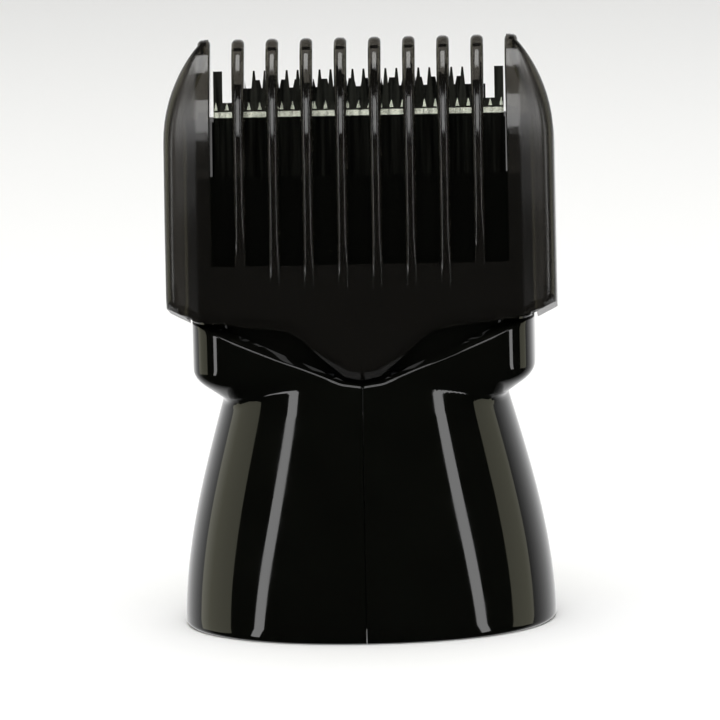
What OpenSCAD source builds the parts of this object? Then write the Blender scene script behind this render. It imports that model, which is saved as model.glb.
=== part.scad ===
// Clipper head that plugs onto a grooming handle, with its slide-on guide comb.
// +Z is up, -Y is the skin side that the comb faces, and the foot of the skirt stands on z = 0.
// The handle's round neck enters the skirt from below and its eccentric pin rocks the drive lever.

/* [Skirt shell] */
// Width of the skirt at its foot
base_w = 41.3; // [36:0.5:50]
// Depth of the skirt at its foot
base_d = 34; // [32:0.5:42]
// Width of the waist
waist_w = 32; // [30:0.2:34]
// Depth of the waist
waist_d = 26.6; // [26:0.2:30]
// Height of the waist above the foot
waist_z = 24.6; // [20:0.5:30]
// Width of the shoulders and of the nose
head_w = 37.8; // [36:0.2:46]
// Depth of the shoulders
head_d = 22.6; // [22:0.2:26]
// Wall thickness of the shell
shell_wall = 1.6; // [1.2:0.1:2]
// Rounding of the foot's outer edge
foot_round = 0.6; // [0.3:0.1:0.7]

/* [Nose] */
// Lean of the nose's front face and of the blades, backwards from upright
lean = 12; // [8:0.5:14]
// Height of the blade's tooth roots above the foot
edge_z = 58.2; // [54:0.2:70]
// Wall thickness of the nose cover
nose_wall = 1.3; // [1:0.1:1.6]
// Wall thickness of the rear cover
rear_wall = 1.4; // [1.2:0.1:1.8]

/* [Blades] */
// Cutting width of the fixed blade
blade_w = 32; // [26:0.5:34]
// Thickness of the fixed blade
blade_t = 0.7; // [0.5:0.05:0.9]
// Length of the fixed blade's teeth
tooth_len = 3.5; // [3:0.1:4.6]
// Spacing of the fixed blade's teeth
tooth_pitch = 1.21; // [1:0.01:1.6]
// Thickness of the moving blade
cutter_t = 0.5; // [0.4:0.05:0.6]
// Spacing of the moving blade's teeth
cutter_pitch = 1.49; // [1.2:0.01:1.8]
// Travel of the moving blade to each side
stroke = 1.2; // [0.8:0.1:1.4]

/* [Guide comb] */
// Thickness of the comb's cheeks
cheek_t = 2.2; // [1.6:0.05:3]
// Number of tines
tine_count = 10; // [8:2:12]
// Spacing of the tines
tine_pitch = 3.76; // [3.2:0.02:3.8]
// Width of each tine
tine_w = 1.25; // [1:0.05:1.6]
// Depth of the tines in front of the comb's back face, which sets the cutting length
tine_rise = 2.2; // [1.8:0.1:4]
// Thickness of the comb's plate
plate_t = 1.6; // [1.2:0.1:2]

/* [Drive] */
// Height of the lever's pivot above the foot
pivot_z = 33.6; // [32:0.2:36]
// Radius of the pivot pin
pivot_r = 1; // [0.8:0.1:1.2]
// Radius of the pin that drives the moving blade
drive_pin_r = 1; // [0.8:0.1:1.2]
// Width of the fork's slot, which takes the handle's eccentric pin
fork_slot = 3; // [2.4:0.1:3.4]

/* [Handle socket] */
// Radius of the socket's bore
socket_r = 12.5; // [11:0.1:12.6]
// Length of the socket's bore
socket_len = 10.3; // [8:0.1:11]
// Wall of the socket's collar
socket_wall = 1.4; // [1:0.1:1.4]

/* [Hidden] */
$fn = 48;
eps = 0.01;
gap = 0.15;      // between fixed pieces that sit side by side
run = 0.03;      // radial clearance of a turning or sliding fit

// Shell outline
flare_top = waist_z + 3.6;     // where the shoulders reach their full width
flare_slope = 1.3;             // how fast the shoulders' underside runs out, in mm per mm
shell_top = waist_z + 9.8;     // top edge at the sides and back
notch_low = waist_z + 3.4;     // top edge at the middle of the front
neck_taper = 0.25;             // how fast the skirt goes on narrowing above the waist
head_square = 5;               // superellipse exponents: 2 is an ellipse, more is squarer
skirt_square = 2.15;

// Nose and blade frame: local y runs through the blades, backwards, and local z runs up them
nose_face = -blade_t - 1.5;    // local y of the nose's front face
nose_set_back = 2.23;          // of the front face behind the shoulders' front, at the seat
nose_inner = nose_face + nose_wall;
nose_lip = -blade_t - 0.8;     // local y of the front face at its top edge
nose_top = -2.1;               // local z of that edge
nose_bend = -8.3;              // local z where the front face starts to lean towards the blade
window_z = -8.4;               // local z where the fixed blade comes out of the front wall
rear_top_z = edge_z - 2.2;
side_wall = 1.6;               // thickness of the nose's side walls
seat_z = shell_top + 0.2;      // the nose widens to the shell's width above this
seat_t = 1.2;                  // thickness of the step where it widens
edge_y = nose_set_back - head_d / 2 - nose_face * cos(lean) - lean_z(nose_face, seat_z) * sin(lean);
rear_top_y = edge_y + 5.8;     // depth of the rear cover's outer face at its top
inner_head_w = head_w - 2 * (shell_wall + gap);

// Chassis, stacked upwards from the coupling ring
ring_z = 1.2;                  // foot of the socket's collar
flange_z = ring_z + socket_len;
flange_t = 1.8;
chassis_z = waist_z + 2.4;
chassis_t = 2;
chassis_top = chassis_z + chassis_t;
nose_foot = chassis_top + 0.2;
tail_w = 6;                    // width of the nose's tail behind the shell's notch
window_r = 5.2;
pillar_x = waist_w / 2 - shell_wall - 2.8;
pillar_r = 2.2;
screw_r = 0.9;                 // shank of every small screw
screw_head_r = 1.9;
screw_head_t = 1.2;

// Blade bed
bed_t = 3;
bar_top = -9;                  // local z range of the bed's blade bar
blade_foot = -12.8;
screw_row = (bar_top + blade_foot) / 2;
leg_x = blade_w / 2 - 3.5;
leg_w = 3.4;
leg_y = [edge_y - 3.2, edge_y - 0.25];        // depth range of the legs behind the blade
leg_foot_y = [-screw_head_r - 3.1, -screw_head_r - gap];   // and at the chassis, in front of the screws
rib_z = [edge_z - 17, edge_z - 15];
rear_screw_z = edge_z - 20;
boss_y = rear_face_y(rear_screw_z) - 4.906;   // how far back the bed's bosses for the rear cover reach
foot_tab_t = 1.8;

// Drive
lever_y = [edge_y + 2.3, edge_y + 4.3];   // depth range of the lever's upper arm
lever_w = 3.2;
pin_z = edge_z - 4.8;          // height of the drive pin
pin_tip_y = edge_y + 0.3;
hub_r = 2.7;
hub_half = 4;                  // half the length of the lever's hub
ear_t = 1.6;
ear_w = 6.8;
neck_r = 2;
fork_z = [flange_z + flange_t + 0.5, flange_z + flange_t + 5];
driver_w = 2 * (leg_x - 2.6);
driver_y = [cutter_t + run, 2.6];
driver_z = [-6.8, -2.6];
end_tooth_w = 1;
bevel_h = 1.7;                 // height of the bevel below the fixed blade's tooth roots
cutter_w = blade_w - 4;
cutter_foot = -5.8;
cutter_shoulder = 1.6;         // local z where the moving blade's teeth start
cutter_tip = tooth_len - 1;
peg_x = leg_x - 6;
peg_r = 0.75;

// Springs
wire_r = 0.35;
coil_r = 1.5;
coil_pitch_steps = 16;         // rings of the sweep in one turn
coil_z = edge_z - 12.4;
// How far to the side the lever reaches at the coils' height
lever_reach = lever_w / 2 + stroke * (coil_z - pivot_z) / (pin_z - pivot_z);
coil_start = leg_x - leg_w / 2 - 2.2;
coil_len = 0.66 * (coil_start - lever_reach - 1.1);
coil_turns = floor(coil_len / (2 * wire_r + 0.1));
coil_x = [coil_start, coil_start - coil_len];
spring_face_y = edge_y + 2.22; // depth of the spring wire's straight legs
spring_top_z = edge_z - 4;
spring_foot_z = rib_z[0] + 0.2;
mandrel_r = coil_r - wire_r - 0.15;

// Guide comb, in the nose's leaning frame
comb_back = nose_face - 0.25;
plate_face = comb_back - plate_t;
tine_face = comb_back - tine_rise;
cheek_in = head_w / 2 + 0.35;
cheek_out = cheek_in + cheek_t;
comb_low = lean_z(plate_face, notch_low - 0.6);   // local z just below the shell's notch
slot_floor = comb_low + 13.95; // local z where the slots between the tines end
// Local z where the middle and the outer tines' ridges fade into the plate
ridge_foot = [comb_low + 8.65, comb_low + 11.35];
ridge_rise = 8;                // length of the ridges' run-out
outer_ridges = 2;              // how many tines at each side have the short ridge
tine_tip = 7;                  // local z of the tines' tips
cheek_foot = comb_low + 9.65;  // local z of the cheeks' lower outer corners
tine_bend = -7;                // local z where the tines start to curve back over the blades
tip_reach = 0.4;               // how far back over the teeth the tips hook
cheek_round = 17;              // radius of the cheeks' upper corners, seen from the front
cheek_tip_x = (tine_count - 1) * tine_pitch / 2;
rail_y = [1.1, 2.3];           // local y range of the rails inside the cheeks
rail_depth = 0.55;
rail_foot = comb_low + 8.95;
rail_top = -8;
groove_clear = 0.1;

// ---- functions ----
function smooth_max(a, b, k) = let(h = max(k - abs(a - b), 0) / k) max(a, b) + h * h * k / 4;
function smooth_min(a, b, k) = -smooth_max(-a, -b, k);
// Share of the way from the waist, 0, to the foot, 1, along a curve that ends nearly upright
function flare_share(z) = let(t = max(0, min(1, 1 - z / waist_z))) 0.9 * sin(90 * t) + 0.1 * t;
function skirt_half(z, foot, waist) = z > waist_z
    ? waist / 2 - (z - waist_z) * neck_taper
    : waist / 2 + (foot - waist) / 2 * flare_share(z);
function head_half(z, full) = smooth_min(full / 2, full / 2 - (flare_top - z) * flare_slope, 1.2);
// Radius of a superellipse with half axes a and b, at an angle p from the front
function ring_radius(p, a, b, n) = pow(pow(abs(sin(p)) / a, n) + pow(abs(cos(p)) / b, n), -1 / n);
function foot_cut(z) = z < foot_round ? foot_round - sqrt(foot_round ^ 2 - (foot_round - z) ^ 2) : 0;
function shell_radius(p, z, inset) =
    let(skirt = ring_radius(p, skirt_half(z, base_w, waist_w) - inset,
            skirt_half(z, base_d, waist_d) - inset, skirt_square),
        a = head_half(z, head_w) - inset,
        b = head_half(z, head_d) - inset)
    z < waist_z - 4 || a < 1 ? skirt : smooth_max(skirt, ring_radius(p, a, b, head_square), 0.9);
// Height of the shell's top edge, as a function of the distance from the middle of the front
function top_edge(p) =
    let(x = abs(shell_radius(p, flare_top, 0) * sin(p)), w = head_w / 2)
    cos(p) < 0 ? shell_top : lookup(x, [[0, notch_low], [w * 0.12, notch_low + 0.3],
        [w * 0.41, notch_low + 2.3], [w * 0.94, shell_top], [w, shell_top]]);
function shell_point(p, z, inset) = let(r = shell_radius(p, z, inset)) [r * sin(p), -r * cos(p), z];
// A point of the leaning blade frame, in the part's own frame
function unlean(y, z) = [edge_y + y * cos(lean) + z * sin(lean), edge_z - y * sin(lean) + z * cos(lean)];
// Local z of the point at local y that has a given height
function lean_z(y, height) = (height - edge_z + y * sin(lean)) / cos(lean);
function rear_face_y(z) =
    rear_top_y + (rear_top_z - z) / (rear_top_z - seat_z) * (head_d / 2 - 0.2 - rear_top_y);

// ---- shared modules ----
module leaning() translate([0, edge_y, edge_z]) rotate([-lean, 0, 0]) children();
// Extrudes a y-z outline sideways between two x values
module across(x0, x1) translate([x0, 0, 0]) rotate([90, 0, 90]) linear_extrude(x1 - x0) children();
// Extrudes an x-z outline through a range of y values
module through(y0, y1) translate([0, y1, 0]) rotate([90, 0, 0]) linear_extrude(y1 - y0) children();
module block(x, y, z) translate([x[0], y[0], z[0]]) cube([x[1] - x[0], y[1] - y[0], z[1] - z[0]]);
module pair() for (side = [0, 1]) mirror([side, 0, 0]) children();
// The shell's outer outline at one height, taken in by t
module shell_outline(z, t)
    polygon([for (a = [0:5:355]) let(q = shell_point(a, z, t)) [q[0], q[1]]]);
module inside_shell(z0, z1) translate([0, 0, z0]) linear_extrude(z1 - z0)
    intersection() {
        shell_outline(z0, shell_wall + gap);
        shell_outline(z1, shell_wall + gap);
    }
module rounded_plate(w, d, r, z0, z1) translate([0, 0, z0]) linear_extrude(z1 - z0)
    union() {
        square([w - 2 * r, d], center = true);
        square([w, d - 2 * r], center = true);
        for (x = [-1, 1], y = [-1, 1]) translate([x * (w / 2 - r), y * (d / 2 - r)]) circle(r);
    }
// A rod along Y
module rod_y(r, y0, y1) translate([0, y1, 0]) rotate([90, 0, 0]) cylinder(r = r, h = y1 - y0);
module rod_x(r, x0, x1) translate([x0, 0, 0]) rotate([0, 90, 0]) cylinder(r = r, h = x1 - x0);

// ---- skirt shell ----
// One half of the shell: a closed skin over a grid of columns round from the front to the back
module shell_half(side) {
    columns = 36;
    lower = 7;
    upper = 9;
    top_z = waist_z - 2;
    outer_z = concat([0, foot_round / 3, foot_round],
        [for (k = [1:lower]) foot_round + (top_z - foot_round) * k / lower]);
    // Each level is [height at or below the waist, share of the way from there to the top edge]
    function level_z(p, z, share) = share > 0 ? z + (top_edge(p) - z) * share : z;
    outer = concat([for (z = outer_z) [z, 0]], [for (k = [1:upper]) [top_z, k / upper]]);
    inner = concat([for (k = [0:lower]) [top_z * k / lower, 0]], [for (k = [1:upper]) [top_z, k / upper]]);
    rows = concat(
        [for (l = outer) [l[0], l[1], 0]],
        [for (i = [len(inner) - 1:-1:0]) [inner[i][0], inner[i][1], shell_wall]]);
    n = len(rows);
    points = [for (c = [0:columns]) let(p = 180 * c / columns) for (r = rows)
        let(z = level_z(p, r[0], r[1]), q = shell_point(p, z, r[2] > 0 ? r[2] : foot_cut(z)))
        [side * q[0], q[1], q[2]]];
    quads = [for (c = [0:columns - 1], r = [0:n - 1]) let(s = (r + 1) % n)
        [c * n + r, c * n + s, (c + 1) * n + s, (c + 1) * n + r]];
    tris = [for (q = quads) each [[q[0], q[1], q[2]], [q[0], q[2], q[3]]]];
    // The two seam faces are strips between the outer and the inner profile
    m = len(outer);
    k_in = len(inner);
    function rung(c, i) = c * n + (n - 1 - min(i, k_in - 1));
    seam = [for (c = [0, columns]) for (i = [0:m - 2])
        let(a = c * n + i, b = c * n + i + 1, u = rung(c, round(i * (k_in - 1) / (m - 1))),
            v = rung(c, round((i + 1) * (k_in - 1) / (m - 1))))
        for (t = concat([[a, u, b]], u == v ? [] : [[b, u, v]])) c == 0 ? t : [t[0], t[2], t[1]]];
    faces = concat(tris, seam);
    polyhedron(points, [for (f = faces) side > 0 ? f : [f[0], f[2], f[1]]]);
}
module shell_left() color("#101010") shell_half(-1);
module shell_right() color("#101010") shell_half(1);

// ---- handle socket ----
module coupling_ring() color("#1c1c1c") difference() {
    union() {
        translate([0, 0, ring_z]) cylinder(r = socket_r + socket_wall, h = socket_len + eps);
        inside_shell(flange_z, flange_z + flange_t);
        pair() translate([pillar_x, 0, flange_z]) cylinder(r = pillar_r, h = chassis_z - flange_z);
    }
    translate([0, 0, ring_z - 1]) cylinder(r = socket_r, h = socket_len + 1);
    translate([0, 0, flange_z - 1]) cylinder(r = window_r, h = flange_t + 2);
    pair() translate([pillar_x, 0, chassis_z - 9]) cylinder(r = screw_r, h = 10);
    // Bayonet slots for the handle's lugs: up the wall, then a short way round
    for (turn = [0, 180]) rotate(turn) {
        block([socket_r - 1, socket_r + socket_wall + 1], [-2, 2], [ring_z - 1, ring_z + 5]);
        block([socket_r - 2, socket_r + socket_wall + 1], [-2, 6], [ring_z + 3, ring_z + 5]);
    }
}

// ---- chassis, pivot and lever ----
// Depth of the tail's inner face at its top
function tail_back() = unlean(nose_inner, lean_z(nose_inner, nose_foot))[0] + 2 * gap;
module chassis() color("#2a2a2c") {
    difference() {
        union() {
            inside_shell(chassis_z, chassis_top);
            for (y = [-1, 1]) translate([0, y * (hub_half + 0.1 + ear_t / 2), 0]) {
                block([-ear_w / 2, ear_w / 2], [-ear_t / 2, ear_t / 2], [chassis_top - eps, pivot_z]);
                translate([0, 0, pivot_z]) rod_y(ear_w / 2, -ear_t / 2, ear_t / 2);
            }
        }
        translate([0, 0, chassis_z - 1]) cylinder(r = window_r - 1, h = chassis_t + 2);
        // Room for the nose cover's tail
        block([-tail_w / 2 - gap, tail_w / 2 + gap], [-head_d, tail_back() - gap],
            [chassis_z - 1, chassis_top + 1]);
        block([-neck_r - 1, neck_r + 1], [-hub_half, hub_half], [chassis_z - 1, chassis_top + 1]);
        translate([0, 0, pivot_z]) rod_y(pivot_r, -hub_half - 3, hub_half + 3);
        pair() translate([pillar_x, 0, chassis_z - 1]) cylinder(r = screw_r + 0.2, h = chassis_t + 2);
    }
}
module frame_screws() color("#8c8c90") pair() translate([pillar_x, 0, 0]) {
    head = chassis_top + foot_tab_t;
    translate([0, 0, head]) difference() {
        cylinder(r = screw_head_r, h = screw_head_t);
        cross_slot(screw_head_t);
    }
    translate([0, 0, chassis_z - 8]) cylinder(r = screw_r, h = head - chassis_z + 8 + eps);
}
// The cross recess in a screw head whose top is at z = top
module cross_slot(top) for (turn = [0, 90]) rotate(turn)
    translate([-1.1, -0.25, top - 0.6]) cube([2.2, 0.5, 1]);
module lever_boot() color("#262626") translate([0, 0, chassis_z - 0.8]) rotate_extrude()
    polygon([[neck_r + 0.7, -2.5], [neck_r + 1.3, -2.5], [window_r, -0.6], [window_r + 1.4, -0.6],
        [window_r + 1.4, 0.75], [window_r - 0.6, 0.75], [window_r - 0.6, 0], [neck_r + 0.7, -1.6]]);
module pivot_pin() color("#b4b4b8") translate([0, 0, pivot_z]) {
    end = hub_half + 0.1 + ear_t;
    difference() {
        union() {
            rod_y(pivot_r, -end, end + 1);
            rod_y(pivot_r + 0.7, -end - 0.6, -end);
        }
        difference() {
            rod_y(pivot_r + 1, end + 0.15, end + 0.6);
            rod_y(pivot_r - 0.25, end - 1, end + 2);
        }
    }
}
module pivot_clip() color("#9a9a9e") translate([0, hub_half + 0.1 + ear_t, pivot_z]) difference() {
    rod_y(pivot_r + 1.1, 0.18, 0.57);
    rod_y(pivot_r - 0.25, -1, 2);
    block([-0.55, 0.55], [-1, 2], [-3, 0]);
}
module drive_lever() color("#e8e6de") difference() {
    union() {
        translate([0, 0, pivot_z]) rod_y(hub_r, -hub_half, hub_half);
        across(-lever_w / 2, lever_w / 2) polygon([[-1.2, pivot_z], [lever_y[0], pivot_z + 7],
            [lever_y[0], pin_z], [lever_y[1], pin_z], [lever_y[1], pivot_z + 6], [1.4, pivot_z]]);
        translate([0, 0, pin_z]) rod_y(lever_w / 2, lever_y[0], lever_y[1]);
        translate([0, 0, fork_z[1] - eps]) cylinder(r = neck_r, h = pivot_z - fork_z[1]);
        rounded_plate(fork_slot + 4, 8, 1, fork_z[0], fork_z[1]);
    }
    translate([0, 0, pivot_z]) rod_y(pivot_r + 0.6, -hub_half - 1, hub_half + 1);
    translate([0, 0, pin_z]) rod_y(drive_pin_r, lever_y[0] - 1, lever_y[1] + 1);
    block([-fork_slot / 2, fork_slot / 2], [-3, 5], [fork_z[0] - 1, fork_z[1] - 1.2]);
}
module lever_bush() color("#b08d57") translate([0, 0, pivot_z]) difference() {
    rod_y(pivot_r + 0.6, -hub_half, hub_half);
    rod_y(pivot_r + run, -hub_half - 1, hub_half + 1);
}
module drive_pin() color("#c4c4c8") translate([0, 0, pin_z]) rod_y(drive_pin_r, pin_tip_y, lever_y[1]);

// ---- nose ----
// Outline of the nose in the y-z plane, from a height upwards, taken in by t from the outer faces
module nose_outline(z0, t) polygon([
    unlean(nose_face + t, lean_z(nose_face + t, z0)),
    unlean(nose_face + t, nose_bend),
    unlean(nose_lip + t, nose_top),
    [rear_top_y - t, rear_top_z],
    [rear_face_y(z0) - t, z0]]);
module nose_cover() color("#0c0c0c") difference() {
    union() {
        intersection() {
            nose_walls(seat_z, head_w / 2, side_wall);
            translate([0, 0, seat_z]) linear_extrude(edge_z - seat_z) shell_outline(shell_top, 0);
        }
        intersection() {
            nose_walls(nose_foot, inner_head_w / 2, side_wall);
            inside_shell(nose_foot, seat_z + eps);
        }
        // The step that joins the side walls above and below the seat
        pair() intersection() {
            block([inner_head_w / 2 - side_wall, head_w / 2], [-head_d, boss_y],
                [seat_z - eps, seat_z + seat_t]);
            across(0, head_w) nose_outline(seat_z - 1, 0);
            translate([0, 0, seat_z - 1]) linear_extrude(seat_t + 2) shell_outline(shell_top, 0);
        }
        intersection() {
            across(-tail_w / 2, tail_w / 2) front_wall(nose_foot - 2.4, nose_foot + eps);
            inside_shell(nose_foot - 2.4, nose_foot + 0.1);
        }
    }
    // The fixed blade is bare above the front wall's edge
    leaning() block([-blade_w / 2 - gap, blade_w / 2 + gap], [nose_face - 1, 0.5], [window_z, 6]);
    // Grooves for the comb's rails, closed at the bottom
    pair() leaning() block([head_w / 2 - rail_depth - groove_clear, head_w],
        [rail_y[0] - groove_clear, rail_y[1] + groove_clear], [rail_foot - groove_clear, 5]);
    // Pockets for the heads of the blade screws
    pair() leaning() translate([leg_x, 0, screw_row])
        rod_y(screw_head_r + 0.3, nose_inner - 0.5, nose_inner + 1);
}
module nose_walls(z0, half, side) {
    across(-half, half) front_wall(z0, edge_z);
    pair() across(half - side, half) nose_outline(z0, 0);
}
// The front wall from one height to another, following the bend towards the blade
module front_wall(z0, z1) intersection() {
    polygon([
        unlean(nose_face, lean_z(nose_face, z0)), unlean(nose_face, nose_bend),
        unlean(nose_lip, nose_top), unlean(nose_lip + nose_wall / 2, nose_top),
        unlean(nose_inner, nose_bend), unlean(nose_inner, lean_z(nose_inner, z0))]);
    translate([-60, z0]) square([120, z1 - z0]);
}
module rear_cover() color("#0c0c0c") difference() {
    half = head_w / 2 - side_wall - gap;
    low_half = inner_head_w / 2 - side_wall - gap;
    low_y = head_d / 2 - shell_wall - gap;
    union() {
        intersection() {
            across(-half, half) polygon([[rear_top_y, rear_top_z], [rear_face_y(seat_z), seat_z],
                [low_y - rear_wall, seat_z], [low_y - rear_wall, seat_z + seat_t],
                [rear_face_y(seat_z + seat_t) - rear_wall, seat_z + seat_t],
                [rear_top_y - rear_wall, rear_top_z - 0.4]]);
            translate([0, 0, seat_z]) linear_extrude(edge_z - seat_z) shell_outline(shell_top, 0);
        }
        intersection() {
            block([-low_half, low_half], [low_y - rear_wall, low_y], [nose_foot, seat_z + eps]);
            inside_shell(nose_foot, seat_z + 1);
        }
        pair() translate([leg_x, 0, rear_screw_z])
            rod_y(2.5, boss_y + gap, rear_face_y(rear_screw_z) - 0.8);
    }
    pair() translate([leg_x, 0, rear_screw_z]) {
        rod_y(screw_r + 0.2, boss_y - 1, 20);
        rod_y(screw_head_r + 0.2, boss_y + 1.6, 20);
    }
}
module rear_cover_screws() color("#8c8c90") pair() translate([leg_x, boss_y + 1.6, rear_screw_z]) {
    difference() {
        rod_y(screw_head_r, 0, screw_head_t);
        rotate([-90, 0, 0]) cross_slot(screw_head_t);
    }
    rod_y(screw_r - 0.05, -6, eps);
}

// ---- blade bed and blades ----
module blade_bed() color("#303032") difference() {
    union() {
        leaning() block([-blade_w / 2, blade_w / 2], [0, bed_t], [blade_foot, bar_top]);
        pair() {
            across(leg_x - leg_w / 2, leg_x + leg_w / 2) polygon([[leg_foot_y[0], chassis_top],
                [leg_foot_y[1], chassis_top], [leg_foot_y[1], pivot_z], [leg_y[1], rib_z[0]],
                [leg_y[1], edge_z - 9.6], [leg_y[0], edge_z - 9.6], [leg_y[0], rib_z[0]]]);
            block([min(pillar_x, leg_x) - 2.2, max(pillar_x, leg_x) + 1.7], [leg_foot_y[0], 2.2],
                [chassis_top, chassis_top + foot_tab_t]);
            translate([leg_x, 0, rear_screw_z]) rod_y(2.1, leg_y[0] + 1, boss_y);
            // Mandrel that carries the coil of a blade spring, on an arm from the leg
            translate([0, coil_centre_y(), coil_z]) rod_x(mandrel_r, coil_x[1] - 0.5, leg_x);
            block([leg_x - leg_w / 2, leg_x + leg_w / 2], [leg_y[1] - eps, coil_centre_y() + 1.2],
                [coil_z - 1.2, coil_z + 1.2]);
        }
        block([-leg_x, leg_x], [leg_y[0] + 1, spring_face_y - wire_r - run], rib_z);
    }
    pair() leaning() translate([leg_x, 0, screw_row]) rod_y(screw_r, -1, bed_t - 0.4);
    pair() translate([pillar_x, 0, chassis_top - 1]) cylinder(r = screw_r + 0.2, h = 4);
    pair() translate([leg_x, 0, rear_screw_z]) rod_y(screw_r, leg_y[0] + 2, boss_y + 1);
    // Nothing of the bed reaches through the blade's plane
    leaning() block([-head_w, head_w], [-9, 0], [blade_foot - 30, 0]);
}
function coil_centre_y() = spring_face_y + coil_r;
// A comb-edged plate: teeth are [centre, half width at the root, half width at the tip, tip z]
module toothed(half, foot, root, teeth) through(0, 1) polygon(concat(
    [[-half, foot], [-half, root]],
    [for (t = teeth) each [[t[0] - t[1], root], [t[0] - t[2], t[3]],
        [t[0] + t[2], t[3]], [t[0] + t[1], root]]],
    [[half, root], [half, foot]]));
module fixed_blade() color("#55575a") leaning() difference() {
    count = 2 * floor((blade_w / 2 - end_tooth_w - tooth_pitch / 2) / tooth_pitch);
    teeth = [for (k = [0:count - 1])
        [(k - (count - 1) / 2) * tooth_pitch, tooth_pitch * 0.36, 0.1, tooth_len]];
    union() {
        translate([0, -blade_t, 0]) scale([1, blade_t, 1]) toothed(blade_w / 2, blade_foot, 0, teeth);
        pair() block([blade_w / 2 - end_tooth_w, blade_w / 2], [-blade_t, 0], [-1, tooth_len]);
    }
    // A bevel below the roots, and the taper of the teeth
    across(-blade_w, blade_w) polygon([[-blade_t - 1, -bevel_h], [-blade_t, -bevel_h],
        [-blade_t * 0.55, 0], [-blade_t * 0.35, tooth_len + 1], [-blade_t - 1, tooth_len + 1]]);
    pair() translate([leg_x, 0, screw_row]) rod_y(screw_r + 0.2, -2, 2);
}
module blade_screws() color("#8c8c90") pair() leaning() translate([leg_x, 0, screw_row]) {
    difference() {
        rod_y(screw_head_r, -blade_t - 0.55, -blade_t);
        for (turn = [0, 90]) rotate([0, turn, 0])
            translate([-1.1, -blade_t - 1, -0.25]) cube([2.2, 0.75, 0.5]);
    }
    rod_y(screw_r - 0.05, -blade_t - eps, bed_t - 0.6);
}
module moving_blade() color("#6a6c70") leaning() difference() {
    count = 2 * floor((cutter_w / 2 - 0.9) / cutter_pitch);
    teeth = [for (k = [0:count - 1]) [(k - (count - 1) / 2) * cutter_pitch, 0.5, 0.3, cutter_tip]];
    translate([0, run, 0]) scale([1, cutter_t, 1])
        toothed(cutter_w / 2, cutter_foot, cutter_shoulder, teeth);
    pair() translate([peg_x, 0, (driver_z[0] + driver_z[1]) / 2]) rod_y(peg_r + 0.05, -1, 2);
}
module cutter_driver() color("#d8d4c4") leaning() difference() {
    middle = (driver_z[0] + driver_z[1]) / 2;
    union() {
        block([-driver_w / 2, driver_w / 2], driver_y, driver_z);
        pair() translate([peg_x, 0, middle]) rod_y(peg_r, run + 0.1, driver_y[0] + eps);
    }
    block([-drive_pin_r - run, drive_pin_r + run], [0.9, 5], [driver_z[0] + 0.6, driver_z[1] + 1]);
}

// ---- blade springs ----
function spring_path() = concat(
    [[coil_x[0], spring_face_y, spring_top_z], [coil_x[0], spring_face_y, (spring_top_z + coil_z) / 2]],
    [for (k = [0:coil_turns * coil_pitch_steps]) let(a = 360 * k / coil_pitch_steps,
        f = k / (coil_turns * coil_pitch_steps))
        [coil_start - coil_len * f, coil_centre_y() - coil_r * cos(a), coil_z - coil_r * sin(a)]],
    [[coil_x[1], spring_face_y, (coil_z + spring_foot_z) / 2], [coil_x[1], spring_face_y, spring_foot_z]]);
function unit(v) = v / norm(v);
// A round wire swept along a path, with its rings square to the path
module wire(path, r, sides = 8) {
    n = len(path);
    tangents = [for (i = [0:n - 1]) unit(path[min(i + 1, n - 1)] - path[max(i - 1, 0)])];
    points = [for (i = [0:n - 1]) let(t = tangents[i], u = unit(cross(t, [1, 0, 0])), v = cross(t, u))
        for (s = [0:sides - 1]) path[i] + r * (cos(360 * s / sides) * u + sin(360 * s / sides) * v)];
    polyhedron(points, concat(
        [[for (s = [0:sides - 1]) s]], [[for (s = [sides - 1:-1:0]) (n - 1) * sides + s]],
        [for (i = [0:n - 2], s = [0:sides - 1]) let(e = (s + 1) % sides)
            [i * sides + s, (i + 1) * sides + s, (i + 1) * sides + e, i * sides + e]]));
}
module blade_springs() color("#a8a8ac") pair() wire(spring_path(), wire_r);

// ---- guide comb ----
// Side outline of a tine in the leaning frame: y is the depth and z runs up
module tine_outline(foot) polygon(concat(
    [[comb_back, foot], [plate_face, foot], [tine_face, foot + ridge_rise], [tine_face, tine_bend]],
    [for (a = [8:8:80]) [tip_reach - 1.2 + (tine_face - tip_reach + 1.2) * cos(a),
        tine_bend + (tine_tip - tine_bend) * sin(a)]],
    [[tip_reach - 1, tine_tip], [tip_reach, tine_tip - 0.5], [tip_reach, tine_tip - 1.6],
     [-blade_t - 0.3, tooth_len + 0.7], [-blade_t - 0.3, nose_top + 0.6],
     [nose_lip - 0.3, nose_top - 0.2], [comb_back, nose_bend - 0.3]]));
module plate_outline() {
    top = slot_floor + 2.4;
    // The tongue's outline down to the notch, then the edge up to the cheek's corner
    tongue = [[0, 1.25], [1.9, 1.65], [4.1, 3.45], [6.7, 5.85], [7.9, 6.75]];
    half = concat([for (q = tongue) [q[0], comb_low + q[1]]],
        [[head_w / 2 - 0.6, cheek_foot - 1.6], [cheek_out, cheek_foot]]);
    n = len(half);
    polygon(concat([for (i = [0:n - 1]) half[i]], [[cheek_out, top], [-cheek_out, top]],
        [for (i = [n - 1:-1:1]) [-half[i][0], half[i][1]]]));
}
// What lies in front of the tines' curved faces
module past_tine_front() difference() {
    translate([-20, ridge_foot[1] + ridge_rise]) square([20 - tip_reach, 60]);
    tine_outline(ridge_foot[1]);
    translate([comb_back, -30]) square([20, tine_tip + 30]);
}
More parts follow.
